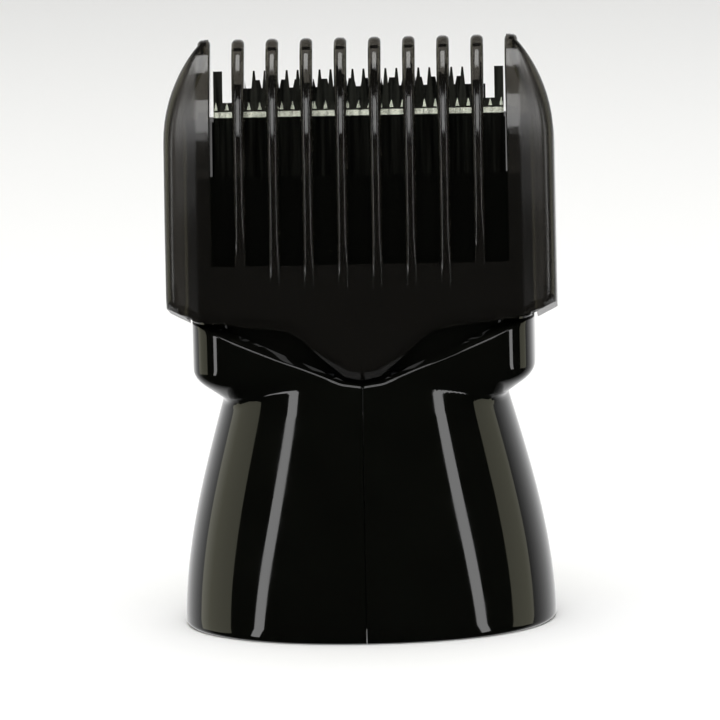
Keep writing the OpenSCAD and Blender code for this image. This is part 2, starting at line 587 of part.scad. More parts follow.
// Front outline of a cheek: straight outside, then an arc in to the tip
function arc_in(z) = cheek_out - (cheek_round - sqrt(cheek_round ^ 2 - z ^ 2));
module cheek_front(inner_low) {
    start = tine_tip - cheek_round * sin(acos(1 - (cheek_out - cheek_tip_x) / cheek_round));
    polygon(concat([[inner_low, cheek_foot - 1.1], [cheek_out, cheek_foot], [cheek_out, start]],
        [for (k = [1:8]) let(z = (tine_tip - start) * k / 8) [arc_in(z), start + z]],
        [[cheek_tip_x - tine_w / 2, tine_tip], [cheek_tip_x - tine_w / 2, tine_tip - 3],
         [inner_low, nose_top + 0.6]]));
}
module cheek_side() polygon([[plate_face, cheek_foot - 2], [plate_face, ridge_foot[1]],
    [tine_face, ridge_foot[1] + ridge_rise], [tine_face - 1, tine_tip + 1], [0, tine_tip + 1],
    [0.8, tine_tip - 0.6], [3.2, 2], [5.2, -5], [6.6, -13], [7, cheek_foot + 1], [6.2, cheek_foot - 2]]);
module guide_comb() color("#2e2b28") leaning() {
    gap_half = (tine_pitch - tine_w) / 2;
    difference() {
        through(plate_face, comb_back) plate_outline();
        for (k = [0:tine_count - 2]) translate([(k - (tine_count - 2) / 2) * tine_pitch, 0, 0])
            block([-gap_half, gap_half], [plate_face - 1, 0], [slot_floor, 5]);
    }
    for (k = [0:tine_count - 1]) {
        outer = k < outer_ridges || k >= tine_count - outer_ridges;
        translate([(k - (tine_count - 1) / 2) * tine_pitch, 0, 0])
            across(-tine_w / 2, tine_w / 2) tine_outline(ridge_foot[outer ? 1 : 0]);
    }
    pair() difference() {
        intersection() {
            through(-8, 12) cheek_front(cheek_in);
            across(cheek_in - 1, cheek_out + 1) cheek_side();
        }
        across(0, cheek_out + 2) past_tine_front();
    }
    // Front flange that joins the outermost tine to the cheek
    pair() intersection() {
        through(-8, 12) cheek_front(cheek_tip_x);
        across(cheek_tip_x, cheek_out + 1) tine_outline(ridge_foot[1]);
    }
    pair() block([cheek_in - rail_depth, cheek_in + eps], rail_y, [rail_foot, rail_top]);
}

shell_left();
shell_right();
coupling_ring();
chassis();
frame_screws();
lever_boot();
pivot_pin();
pivot_clip();
drive_lever();
lever_bush();
drive_pin();
nose_cover();
rear_cover();
rear_cover_screws();
blade_bed();
fixed_blade();
blade_screws();
moving_blade();
cutter_driver();
blade_springs();
guide_comb();
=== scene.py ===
from math import asin, atan2, cos, pi, radians, sin, sqrt

import bmesh
import bpy
from mathutils import Matrix, Vector


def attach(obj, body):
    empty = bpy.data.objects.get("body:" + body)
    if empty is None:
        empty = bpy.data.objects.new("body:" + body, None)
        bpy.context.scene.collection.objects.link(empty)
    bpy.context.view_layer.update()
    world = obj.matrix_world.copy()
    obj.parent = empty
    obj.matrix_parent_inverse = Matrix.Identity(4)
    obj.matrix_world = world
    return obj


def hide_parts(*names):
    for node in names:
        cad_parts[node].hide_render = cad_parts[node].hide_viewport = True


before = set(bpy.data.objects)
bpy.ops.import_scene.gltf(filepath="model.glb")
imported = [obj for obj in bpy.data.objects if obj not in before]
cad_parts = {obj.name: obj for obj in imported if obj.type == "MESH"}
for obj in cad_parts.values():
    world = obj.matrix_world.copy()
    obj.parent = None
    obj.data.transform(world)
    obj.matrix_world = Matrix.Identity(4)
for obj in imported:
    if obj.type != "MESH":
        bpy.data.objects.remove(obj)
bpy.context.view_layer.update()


# ---- Camera ----
# A long lens from a little above the front, a touch to the right and turned a little about its axis.
view_height, camera_distance = 0.0799, 0.9          # metres; the first is what the picture takes in
aim_height, aim_left = 0.029, 0.0006
azimuth, elevation, roll = radians(2), radians(8.5), radians(1.4)
camera_data = bpy.data.cameras.new("camera")
camera = bpy.data.objects.new("camera", camera_data)
bpy.context.scene.collection.objects.link(camera)
away = Vector((sin(azimuth) * cos(elevation), -cos(azimuth) * cos(elevation), sin(elevation)))
level = (-away).to_track_quat("-Z", "Y").to_matrix() @ Matrix.Rotation(-roll, 3, "Z")
aim = Vector((0, 0, aim_height)) - level.col[0] * aim_left
camera.matrix_world = Matrix.Translation(aim + away * camera_distance) @ level.to_4x4()
camera_data.lens = camera_data.sensor_width * camera_distance / view_height
bpy.context.scene.camera = camera


# ---- Skirt shell, left and right halves ----
# Injection-moulded ABS in gloss black, two halves welded along the front and back. The skirt flares from the
# waist to an oval foot, and its shoulders stand out under the comb, with a V-shaped lip at the front.
MM = 0.001
foot_size, waist_size, shoulder_size = (41.3, 34), (32, 26.6), (37.8, 22.6)     # width and depth
waist_z, shoulder_low, flare_top, shell_top, notch_low = 24.6, 20.6, 28.2, 34.4, 28
shell_wall, foot_round, lip_round, seam_gap, seam_round = 1.6, 0.6, 0.22, 0.02, 0.09
skirt_bow, neck_taper, flare_slope = 0.9, 0.25, 1.3
oval, squarish = 2.15, 5                            # exponents of the sections' outlines
flare_blend, shoulder_blend = 1.2, 0.9
level_top = 22                                      # rings lie level up to here, and follow the rim above it
ring_points, skirt_rings, shoulder_rings, inner_rings, inner_low_rings = 192, 24, 32, 12, 8


def between(stops, at):
    """Straight-line values between (place, value) stops, and level before the first and after the last."""
    for (p0, v0), (p1, v1) in zip(stops, stops[1:]):
        if at <= p1:
            return v0 + (v1 - v0) * max(0, at - p0) / (p1 - p0)
    return stops[-1][1]


def smooth_max(a, b, k):
    """The larger of two values, with the corner where they cross blended over a width k."""
    h = max(k - abs(a - b), 0) / k
    return max(a, b) + h * h * k / 4


def skirt_half(z, foot, waist):
    """Half the skirt's width or depth at a height. Above the waist it narrows on, inside the shoulders."""
    if z > waist_z:
        return waist / 2 - (z - waist_z) * neck_taper
    t = min(1, 1 - z / waist_z)
    return waist / 2 + (foot - waist) / 2 * (skirt_bow * sin(pi / 2 * t) + (1 - skirt_bow) * t)


def ring_radius(p, a, b, n):
    """Radius at angle p of an outline with half sizes a and b: an ellipse at n = 2, squarer above."""
    return (abs(sin(p) / a) ** n + abs(cos(p) / b) ** n) ** (-1 / n)


def shell_radius(p, z, inset):
    """Radius at angle p from the front: an oval skirt, blended above the waist into squarer shoulders."""
    a, b = (skirt_half(z, f, w) - inset for f, w in zip(foot_size, waist_size))
    skirt = ring_radius(p, a, b, oval)
    pull = (flare_top - z) * flare_slope
    a, b = (-smooth_max(-size / 2, pull - size / 2, flare_blend) - inset for size in shoulder_size)
    if z < shoulder_low or a < 1:
        return skirt
    return smooth_max(skirt, ring_radius(p, a, b, squarish), shoulder_blend)


def top_edge(p):
    """Height of the shell's rim, which dips in a V at the front to make room for the comb's tongue."""
    if cos(p) < 0:
        return shell_top
    w = shoulder_size[0] / 2
    notch = [(0, notch_low), (w * 0.12, notch_low + 0.3), (w * 0.41, notch_low + 2.3), (w * 0.94, shell_top)]
    return between(notch, abs(shell_radius(p, flare_top, 0) * sin(p)))


def shell_levels():
    """Each ring's level height, share of the way from there up to the rim, inset, and drop below the rim."""
    quarter = [radians(a) for a in (0, 22.5, 45, 67.5, 90)]
    foot_arc = [(foot_round * (1 - sin(a)), 0, foot_round * (1 - cos(a)), 0) for a in reversed(quarter)]
    rise = (level_top - foot_round) / skirt_rings
    skirt = [(foot_round + rise * k, 0, 0, 0) for k in range(1, skirt_rings + 1)]
    up = [k / shoulder_rings for k in range(1, shoulder_rings + 1)]
    shoulder = [(level_top, share, 0, lip_round * share ** 8) for share in up]
    lip = [(level_top, 1, lip_round * (1 - cos(a)), lip_round * (1 - sin(a))) for a in quarter[1:]]
    inner = [(level_top, 1 - k / inner_rings, shell_wall, 0) for k in range(inner_rings + 1)]
    down = [1 - k / inner_low_rings for k in range(1, inner_low_rings + 1)]
    inner += [(level_top * share, 0, shell_wall, 0) for share in down]
    return foot_arc + skirt + shoulder + lip + inner


def place_ring(verts, ring_level):
    """Puts a ring's points on the shell's surface. Each keeps its angle."""
    height, share, inset, drop = ring_level
    for v in verts:
        p = atan2(v.co.x, -v.co.y)
        z = height + (top_edge(p) - height) * share - drop
        r = shell_radius(p, z, inset)
        v.co = (r * sin(p), -r * cos(p), z)


def link_piece(name, bm, body, slot, *nodes, sharp=35, flat_faces=False):
    """Makes a piece from a mesh in millimetres, which rides on a body and may stand for CAD nodes."""
    bmesh.ops.scale(bm, vec=(MM,) * 3, verts=bm.verts)
    mesh = bpy.data.meshes.new(name)
    bm.to_mesh(mesh)
    bm.free()
    mesh.shade_smooth()
    mesh.set_sharp_from_angle(angle=radians(sharp))
    piece = bpy.data.objects.new(name, mesh)
    bpy.context.scene.collection.objects.link(piece)
    if flat_faces:
        piece.modifiers.new("flat_faces", "WEIGHTED_NORMAL").keep_sharp = True
    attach(piece, body)
    if nodes:
        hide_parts(*nodes)
    return piece


def shell_half(side):
    """One half: rings from the foot up, over the rim and down inside, cut and closed at the middle plane."""
    bm = bmesh.new()
    bmesh.ops.create_circle(bm, segments=ring_points, radius=1)
    ring = list(bm.edges)
    place_ring(bm.verts, shell_levels()[0])
    for ring_level in shell_levels()[1:]:
        made = bmesh.ops.extrude_edge_only(bm, edges=ring)["geom"]
        ring = [g for g in made if isinstance(g, bmesh.types.BMEdge)]
        place_ring([g for g in made if isinstance(g, bmesh.types.BMVert)], ring_level)
    bmesh.ops.bridge_loops(bm, edges=[e for e in bm.edges if e.is_boundary])
    cut = bmesh.ops.bisect_plane(bm, geom=bm.verts[:] + bm.edges[:] + bm.faces[:], dist=1e-5,
                                 plane_co=(side * seam_gap, 0, 0), plane_no=(-side, 0, 0), clear_outer=True)
    loops = [g for g in cut["geom_cut"] if isinstance(g, bmesh.types.BMEdge)]
    bmesh.ops.triangle_fill(bm, edges=loops, use_beauty=True, normal=(-side, 0, 0))
    bmesh.ops.recalc_face_normals(bm, faces=bm.faces)
    rim = [e for e in loops if e.is_valid]
    bmesh.ops.bevel(bm, geom=rim, offset=seam_round, affect="EDGES", segments=2, profile=0.5, material=-1)
    return bm


def srgb(hex_colour):
    """A linear colour from an sRGB hex value."""
    parts = [int(hex_colour[i : i + 2], 16) / 255 for i in (1, 3, 5)]
    return [c / 12.92 if c <= 0.04045 else ((c + 0.055) / 1.055) ** 2.4 for c in parts] + [1]


def put(tree, kind, inputs=None, **settings):
    """Adds a node: its settings, and each input's value or the socket that it is linked to."""
    made = tree.nodes.new("ShaderNode" + kind)
    for name, value in settings.items():
        setattr(made, name, value)
    for name, value in (inputs or {}).items():
        if isinstance(value, bpy.types.NodeSocket):
            tree.links.new(value, made.inputs[name])
        else:
            made.inputs[name].default_value = value
    return made


def new_material(name):
    """A new material, its node tree, its shader and the object's coordinates."""
    material = bpy.data.materials.new(name)
    material.use_nodes = True
    tree = material.node_tree
    shader = tree.nodes["Principled BSDF"]
    return material, tree, shader, put(tree, "TexCoord").outputs["Object"]


def gloss_black_abs():
    """Polished ABS: near black with a deep gloss, faint flow waves from moulding and fine handling marks."""
    material, tree, shader, place = new_material("gloss_black_abs")
    waves = put(tree, "TexNoise", {"Vector": place, "Scale": 90, "Detail": 1})
    smudges = put(tree, "TexNoise", {"Vector": place, "Scale": 160, "Detail": 5, "Roughness": 0.6})
    wear = put(tree, "MapRange", {"Value": smudges.outputs["Fac"], "From Min": 0.4, "From Max": 0.75,
                                  "To Min": 0.035, "To Max": 0.085})
    tint = put(tree, "Mix", {"Factor": smudges.outputs["Fac"], "A": srgb("#050504"), "B": srgb("#0b0c09")},
               data_type="RGBA")
    relief = put(tree, "Bump", {"Height": waves.outputs["Fac"], "Strength": 0.04, "Distance": 0.0006})
    tree.links.new(tint.outputs["Result"], shader.inputs["Base Color"])
    tree.links.new(wear.outputs["Result"], shader.inputs["Roughness"])
    tree.links.new(relief.outputs["Normal"], shader.inputs["Normal"])
    shader.inputs["IOR"].default_value = 1.53
    return material


gloss_black = gloss_black_abs()
for side, name in ((-1, "left"), (1, "right")):
    half = link_piece("skirt_shell_" + name, shell_half(side), "head", "shell", "shell_" + name)
    half.data.materials.append(gloss_black)


# ---- Guide comb ----
# One moulding of smoke-tinted polycarbonate. Ten ribs rise out of a flat plate with a tongue and curve back
# over the blades' teeth, and two cheeks wrap the nose, where their rails slide in its grooves.
lean, edge_y, edge_z = radians(12), -1.8, 58.2      # the blades' leaning frame, with z up along the blades
comb_back, plate_face, rib_face = -2.45, -4.05, -4.65
plate_top, plate_chamfer = -18.4, 1.0
tongue = [(0, -31.1), (1.9, -30.7), (4.1, -28.9), (6.7, -26.5), (7.9, -25.6), (18.3, -24.3), (18.6, -24.15)]
rib_count, rib_pitch, rib_width, rib_round = 10, 3.76, 1.25, 0.5
inner_foot, outer_foot, short_ribs = -23.7, -21, 2  # the two outer ribs at each side start higher
rib_rise, rib_bend, rib_tip, tip_face = 8, -7, 7, -0.8
rib_taper = [(-8, 0.92), (4, 1.14)]                 # share of the width by height
tip_line = [(rib_tip, -0.6), (rib_tip - 0.1, 0.1), (rib_tip - 0.45, 0.4)]       # height and depth
back_line = [(-8.6, comb_back), (-2.3, -1.8), (-1.5, -1), (4.2, -1), (5.4, 0.4)]    # clears nose and teeth
cheek_in, cheek_tip_in, cheek_out, flange_start = 19.25, 17, 21.45, 16.4
cheek_round, cheek_corner, cheek_edge = 17, 1.5, 0.3
cheek_foot = [(16, -24.6), (18.3, -24.3), (cheek_out, -22.7)]
cheek_rear = [(-24, 6.2), (-21, 7), (-13, 6.6), (-5, 5.2), (2, 3.2), (6.4, 0.8), (8, 0.2)]
cheek_heights, foot_heights = [-20, -17, -15, -13, -11, -9, -8], (-23, -21)
rail_depth, rail_root, rail_y, rail_z = 0.55, 0.5, (1.1, 2.3), (-23.4, -8)
cheek_tip = (rib_count - 1) * rib_pitch / 2
arc_low = rib_tip - sqrt(cheek_round ** 2 - (cheek_round - cheek_out + cheek_tip) ** 2)


def rib_front(z, foot):
    """Depth of the front: a ramp out of the plate, a straight run, then a curve back over the teeth."""
    if z < rib_bend:
        return between([(foot, plate_face), (foot + rib_rise, rib_face)], z)
    return tip_face + (rib_face - tip_face) * cos(asin(min(1, (z - rib_bend) / (rib_tip - rib_bend))))


def bend_heights(step, stop):
    """Heights up the bend at even angles, so they lie closer together towards the tip."""
    return [rib_bend + (rib_tip - rib_bend) * sin(radians(a)) for a in range(0, stop, step)]


def slab(outline, axis, low, high):
    """A closed solid: an outline in the plane square to an axis, extruded along that axis."""
    bm = bmesh.new()
    step = Vector((high - low, 0, 0) if axis == "x" else (0, high - low, 0))
    corners = [(low, a, b) if axis == "x" else (a, low, b) for a, b in outline]
    face = bm.faces.new([bm.verts.new(c) for c in corners])
    grown = bmesh.ops.extrude_face_region(bm, geom=[face])["geom"]
    bmesh.ops.translate(bm, vec=step, verts=[g for g in grown if isinstance(g, bmesh.types.BMVert)])
    bmesh.ops.recalc_face_normals(bm, faces=bm.faces)
    return bm


def ease(bm, edges, offset, segments=2, clamp=True):
    """Rounds edges, or chamfers them with one segment."""
    bmesh.ops.bevel(bm, geom=edges, offset=offset, offset_type="OFFSET", affect="EDGES", segments=segments,
                    profile=0.5, material=-1, clamp_overlap=clamp)


def comb_plate():
    """The flat plate behind the ribs' feet with its tongue, chamfered along the lower front edge."""
    outline = tongue + [(tongue[-1][0], plate_top)]
    outline += [(-x, z) for x, z in reversed(outline) if x > 0]
    bm = slab(outline, "y", plate_face, comb_back)
    face = [e for e in bm.edges if all(v.co.y < plate_face + 0.1 for v in e.verts)]
    ease(bm, [e for e in face if all(v.co.z < plate_top - 1 for v in e.verts)], plate_chamfer, segments=1)
    return bm


def comb_rib(x, foot):
    """One rib: its side view extruded to its width, rounded down the front and a little wider at the tip."""
    heights = [foot + rib_rise, (foot + rib_rise + rib_bend) / 2] + bend_heights(4, 84)
    outline = [(comb_back, foot), (plate_face, foot)] + [(rib_front(z, foot), z) for z in heights]
    outline += [(y, z) for z, y in tip_line + back_line[::-1]]
    bm = slab(outline, "x", x - rib_width / 2, x + rib_width / 2)
    lengthwise = [e for e in bm.edges if abs(e.verts[0].co.x - e.verts[1].co.x) < 0.01]
    front = [e for e in lengthwise if all(v.co.y < between(back_line, v.co.z) - 0.25 for v in e.verts)]
    ease(bm, front, rib_round, segments=4, clamp=False)
    for v in bm.verts:
        v.co.x = x + (v.co.x - x) * between(rib_taper, v.co.z)
    return bm


def cheek_section(z, cut):
    """Outline of the right cheek at one height: a front flange, a rounded corner and a side wall."""
    out = cheek_out - (cheek_round - sqrt(cheek_round ** 2 - max(0, z - arc_low) ** 2))
    front, back = rib_front(z, outer_foot) + cut, between(back_line, z)
    rear = max(between(cheek_rear, z), back + 0.1)
    inner = min(between([(-1.5, cheek_in), (4, cheek_tip_in)], z), out - 0.3)
    r = min(cheek_corner, (rear - front) * 0.4, (out - flange_start) * 0.4)
    e = min(cheek_edge, (rear - back) * 0.4, (out - inner) * 0.3)
    flange = [(flange_start, back), (flange_start, front)]
    corner = [(out - r + r * sin(radians(a)), front + r - r * cos(radians(a))) for a in range(0, 91, 15)]
    outside = [(out, rear - e), (out - e, rear)]
    inside = [(inner + e, rear), (inner, rear - e), (inner, back + e), (inner - e, back)]
    return flange + corner + outside + inside


def comb_cheek(side):
    """One cheek, closed over its sections from the foot's slope and chamfer up to the tip."""
    low, high = foot_heights
    bm = bmesh.new()
    bm.faces.new([bm.verts.new((x, y, between(cheek_foot, x))) for x, y in cheek_section(low, plate_chamfer)])
    edges = list(bm.edges)
    rings = [[(x, y, between(cheek_foot, x) + plate_chamfer) for x, y in cheek_section(high, 0)]]
    rings += [[(x, y, z) for x, y in cheek_section(z, 0)] for z in cheek_heights + bend_heights(5, 91)]
    for ring in rings:
        grown = bmesh.ops.extrude_edge_only(bm, edges=edges)["geom"]
        edges = [g for g in grown if isinstance(g, bmesh.types.BMEdge)]
        bm.verts.index_update()
        verts = sorted((g for g in grown if isinstance(g, bmesh.types.BMVert)), key=lambda v: v.index)
        for v, place in zip(verts, ring):
            v.co = place
    bmesh.ops.contextual_create(bm, geom=edges)
    bmesh.ops.scale(bm, vec=(side, 1, 1), verts=bm.verts)
    bmesh.ops.recalc_face_normals(bm, faces=bm.faces)
    return bm


def comb_rail(side):
    """The rail inside one cheek, rooted in the cheek's wall."""
    (y0, y1), (z0, z1) = rail_y, rail_z
    near, far = sorted((side * (cheek_in - rail_depth), side * (cheek_in + rail_root)))
    return slab([(y0, z0), (y1, z0), (y1, z1), (y0, z1)], "x", near, far)


def fuse(solids):
    """Joins closed solids that overlap into one closed solid."""
    loose = []
    for bm in solids:
        mesh = bpy.data.meshes.new("loose")
        bm.to_mesh(mesh)
        bm.free()
        loose.append(bpy.data.objects.new("loose", mesh))
        bpy.context.scene.collection.objects.link(loose[-1])
    for other in loose[1:]:
        join = loose[0].modifiers.new("join", "BOOLEAN")
        join.operation, join.solver, join.object = "UNION", "MANIFOLD", other
    joined = bmesh.new()
    joined.from_object(loose[0], bpy.context.evaluated_depsgraph_get())
    for piece in loose:
        bpy.data.objects.remove(piece)
    return joined


def stand_in_blade_frame(bm):
    """Leans a solid that was made upright back to where the blades are."""
    place = Matrix.Translation((0, edge_y, edge_z)) @ Matrix.Rotation(-lean, 4, "X")
    bmesh.ops.transform(bm, matrix=place, verts=bm.verts)
    return bm


def smoke_polycarbonate():
    """Smoke-tinted polycarbonate: glassy on the plate and ribs, finely textured for grip on the cheeks."""
    material, tree, shader, place = new_material("smoke_polycarbonate")
    haze = put(tree, "TexNoise", {"Vector": place, "Scale": 220, "Detail": 4, "Roughness": 0.6})
    gloss = put(tree, "MapRange", {"Value": haze.outputs["Fac"], "From Min": 0.35, "From Max": 0.75,
                                   "To Min": 0.04, "To Max": 0.12})
    flow = put(tree, "TexNoise", {"Vector": place, "Scale": 120, "Detail": 1})
    relief = put(tree, "Bump", {"Height": flow.outputs["Fac"], "Strength": 0.05, "Distance": 0.0005})
    tint = put(tree, "Mix", {"Factor": haze.outputs["Fac"], "A": srgb("#53504a"), "B": srgb("#474540")},
               data_type="RGBA")
    tree.links.new(tint.outputs["Result"], shader.inputs["Base Color"])
    across = put(tree, "SeparateXYZ", {"Vector": place}).outputs["X"]
    aside = put(tree, "Math", {0: across}, operation="ABSOLUTE")
    texture = put(tree, "MapRange", {"Value": aside.outputs["Value"], "From Min": 17.4 * MM,
                                     "From Max": 18 * MM, "To Min": 0, "To Max": 0.26})
    rough = put(tree, "Math", {0: gloss.outputs["Result"], 1: texture.outputs["Result"]}, operation="MAXIMUM")
    tree.links.new(rough.outputs["Value"], shader.inputs["Roughness"])
    tree.links.new(relief.outputs["Normal"], shader.inputs["Normal"])
    shader.inputs["Transmission Weight"].default_value = 0.93
    shader.inputs["IOR"].default_value = 1.58
    depth = put(tree, "VolumeAbsorption", {"Color": srgb("#6a645c"), "Density": 130})
    tree.links.new(depth.outputs["Volume"], tree.nodes["Material Output"].inputs["Volume"])
    return material


comb_solids = [comb_plate()]
for k in range(rib_count):
    foot = inner_foot if short_ribs <= k < rib_count - short_ribs else outer_foot
    comb_solids.append(comb_rib((k - (rib_count - 1) / 2) * rib_pitch, foot))
comb_solids += [make(side) for make in (comb_cheek, comb_rail) for side in (-1, 1)]
comb = link_piece("smoke_guide_comb", stand_in_blade_frame(fuse(comb_solids)), "comb", "comb", "guide_comb",
                  sharp=40, flat_faces=True)
comb.data.materials.append(smoke_polycarbonate())


# ---- Nose cover and rear cover ----
# Injection-moulded ABS in the same gloss black as the skirt. The nose frames the blade's foot and carries the
# comb's grooves. The rear cover closes its back and is lightly rounded at every edge, and two screws hold it.
def merged_copy(node):
    """The node's own shape in millimetres, with its doubles merged and its flat faces whole."""
    bm = bmesh.new()
    bm.from_mesh(bpy.data.objects[node].data)
    bmesh.ops.scale(bm, vec=(1 / MM,) * 3, verts=bm.verts)
    bmesh.ops.remove_doubles(bm, verts=bm.verts, dist=0.001)
    bmesh.ops.dissolve_limit(bm, angle_limit=radians(1), verts=bm.verts, edges=bm.edges)
    return bm


def eased_copy(node, offset):
    """The same with its sharp edges rounded."""
    bm = merged_copy(node)
    ease(bm, [e for e in bm.edges if e.is_manifold and e.calc_face_angle() > radians(30)], offset)
    return bm


nose_mesh, rear_mesh = merged_copy("nose_cover"), eased_copy("rear_cover", 0.16)
nose = link_piece("nose_shell", nose_mesh, "head", "shell", "nose_cover", flat_faces=True)
rear = link_piece("rear_shell", rear_mesh, "head", "shell", "rear_cover", flat_faces=True)
for cover in (nose, rear):
    cover.data.materials.append(gloss_black)


# ---- Blades ----
# Stamped and ground stainless steel. The fixed blade's face is dark from hardening, with fine grinding lines
# up it. A band of bright steel colour below the teeth is a painted highlight in place of the bevel's
# reflection, and small painted glints stand at each tooth's root. The moving blade has the same in a dimmer
# colour.
tooth_pitch = 1.21
highlight_low, highlight_high, highlight_fade = 1.7, 1.05, 0.05    # the painted highlight band's edges, below the tooth roots
glint_low, glint_high, glint_half = 0.85, 0.1, 0.22     # a painted glint narrows from its foot to its tip


def ground_steel(name, dark, light, highlight_colour):
    """Hardened steel streaked up the blade, a painted highlight band below the teeth and a painted glint at
    each root.
    """
    material, tree, shader, place = new_material(name)
    blade_frame = put(tree, "Mapping", {"Vector": place, "Rotation": (lean, 0, 0)}).outputs["Vector"]
    along = put(tree, "Mapping", {"Vector": blade_frame, "Scale": (1, 1, 0.03)})
    lines = put(tree, "TexNoise", {"Vector": along.outputs["Vector"], "Scale": 2500, "Detail": 4,
                                   "Roughness": 0.7})
    root = (edge_z * cos(lean) + edge_y * sin(lean)) * MM
    up = put(tree, "SeparateXYZ", {"Vector": blade_frame}).outputs["Z"]
    # Painted highlight: a band of bright colour below the tooth roots, standing in for the bevel's reflection.
    highlight_foot, highlight_top, glint_foot = (root - d * MM for d in (highlight_low, highlight_high, glint_low))
    below = put(tree, "MapRange", {"Value": up, "From Min": highlight_foot - highlight_fade * MM,
                                   "From Max": highlight_foot + highlight_fade * MM})
    above = put(tree, "MapRange", {"Value": up, "From Min": highlight_top - highlight_fade * MM,
                                   "From Max": highlight_top + highlight_fade * MM, "To Min": 1, "To Max": 0})
    highlight_band = put(tree, "Math", {0: below.outputs["Result"], 1: above.outputs["Result"]}, operation="MULTIPLY")
    # Painted glints: small bright triangles at each tooth's root, one per tooth pitch.
    across = put(tree, "Math", {0: put(tree, "SeparateXYZ", {"Vector": place}).outputs["X"],
                                1: tooth_pitch * MM / 2}, operation="PINGPONG")
    width = put(tree, "MapRange", {"Value": up, "From Min": glint_foot, "From Max": root + glint_high * MM,
                                   "To Min": glint_half * MM, "To Max": 0})
    glint = put(tree, "Math", {0: across.outputs["Value"], 1: width.outputs["Result"]}, operation="LESS_THAN")
    start = put(tree, "Math", {0: up, 1: glint_foot}, operation="GREATER_THAN")
    glints = put(tree, "Math", {0: glint.outputs["Value"], 1: start.outputs["Value"]}, operation="MULTIPLY")
    highlight_mask = put(tree, "Math", {0: highlight_band.outputs["Value"], 1: glints.outputs["Value"]}, operation="MAXIMUM")
    hardened = put(tree, "Mix", {"Factor": lines.outputs["Fac"], "A": srgb(dark), "B": srgb(light)},
                   data_type="RGBA")
    # Mixes the painted highlight band and painted glints into the steel's colour.
    steel_and_highlight = put(tree, "Mix", {"Factor": highlight_mask.outputs["Value"], "A": hardened.outputs["Result"],
                              "B": srgb(highlight_colour)}, data_type="RGBA")
    rough = put(tree, "MapRange", {"Value": lines.outputs["Fac"], "From Min": 0.3, "From Max": 0.7,
                                   "To Min": 0.12, "To Max": 0.24})
    relief = put(tree, "Bump", {"Height": lines.outputs["Fac"], "Strength": 0.15, "Distance": 0.00003})
    tree.links.new(steel_and_highlight.outputs["Result"], shader.inputs["Base Color"])
    tree.links.new(rough.outputs["Result"], shader.inputs["Roughness"])
    tree.links.new(relief.outputs["Normal"], shader.inputs["Normal"])
    shader.inputs["Metallic"].default_value = 1
    return material


def refinish(node, material):
    """Gives a node that keeps its own shape a new finish."""
    slots = bpy.data.objects[node].data.materials
    slots.clear()
    slots.append(material)


# The last colour of each is the painted highlight and glints.
refinish("fixed_blade", ground_steel("hardened_ground_steel", "#141411", "#32332e", "#d3d6c6"))
refinish("moving_blade", ground_steel("dark_ground_steel", "#232420", "#3c3d38", "#5c5d56"))


# ---- Handle socket, chassis and blade bed ----
# Glass-filled nylon mouldings that hold the mechanism. The short fibres leave a fine mottle and a satin skin.
def filled_nylon(name, dark, light):
    """Satin nylon between two tones, mottled by its glass fibres."""
    material, tree, shader, place = new_material(name)
    fibres = put(tree, "TexNoise", {"Vector": place, "Scale": 1400, "Detail": 4, "Roughness": 0.65})
    flow = put(tree, "TexNoise", {"Vector": place, "Scale": 120, "Detail": 2, "Distortion": 0.8})
    mottle = put(tree, "Mix", {"Factor": fibres.outputs["Fac"], "A": srgb(dark), "B": srgb(light)},
                 data_type="RGBA")
    satin = put(tree, "MapRange", {"Value": flow.outputs["Fac"], "From Min": 0.3, "From Max": 0.7,
                                   "To Min": 0.36, "To Max": 0.52})
    skin = put(tree, "Bump", {"Height": fibres.outputs["Fac"], "Strength": 0.2, "Distance": 0.00005})
    tree.links.new(mottle.outputs["Result"], shader.inputs["Base Color"])
    tree.links.new(satin.outputs["Result"], shader.inputs["Roughness"])
    tree.links.new(skin.outputs["Normal"], shader.inputs["Normal"])
    shader.inputs["IOR"].default_value = 1.53
    return material


for node, name, finish in (
        ("coupling_ring", "handle_socket_ring", filled_nylon("black_filled_nylon", "#131314", "#202022")),
        ("chassis", "pivot_chassis", filled_nylon("charcoal_filled_nylon", "#222325", "#303134")),
        ("blade_bed", "blade_carrier", filled_nylon("grey_filled_nylon", "#2c2d30", "#3b3c40"))):
    moulding = link_piece(name, eased_copy(node, 0.1), "head", "inner_plastic", node, flat_faces=True)
    moulding.data.materials.append(finish)


# ---- Drive lever and cutter driver ----
# Acetal mouldings, which slide without oil: a white lever that rocks on its pin, and a cream driver that is
# pressed into the moving blade.
def acetal(name, dark, light):
    """Waxy, slightly translucent acetal between two tones."""
    material, tree, shader, place = new_material(name)
    flow = put(tree, "TexNoise", {"Vector": place, "Scale": 180, "Detail": 3, "Distortion": 0.5})
    grain = put(tree, "TexNoise", {"Vector": place, "Scale": 2200, "Detail": 2})
    tone = put(tree, "Mix", {"Factor": flow.outputs["Fac"], "A": srgb(dark), "B": srgb(light)},
               data_type="RGBA")
    sheen = put(tree, "MapRange", {"Value": flow.outputs["Fac"], "From Min": 0.3, "From Max": 0.7,
                                   "To Min": 0.26, "To Max": 0.4})
    skin = put(tree, "Bump", {"Height": grain.outputs["Fac"], "Strength": 0.12, "Distance": 0.00004})
    tree.links.new(tone.outputs["Result"], shader.inputs["Base Color"])
    tree.links.new(sheen.outputs["Result"], shader.inputs["Roughness"])
    tree.links.new(skin.outputs["Normal"], shader.inputs["Normal"])
    shader.inputs["IOR"].default_value = 1.48
    shader.inputs["Subsurface Weight"].default_value = 0.15
    shader.inputs["Subsurface Scale"].default_value = 0.001
    return material


for node, name, body, slot, finish in (
        ("drive_lever", "rocking_lever", "lever", "lever", acetal("white_acetal", "#dedcd2", "#eeece4")),
        ("cutter_driver", "blade_driver", "cutter", "driver", acetal("cream_acetal", "#d2ccb6", "#e0dbc8"))):
    moulding = link_piece(name, eased_copy(node, 0.1), body, slot, node, flat_faces=True)
    moulding.data.materials.append(finish)


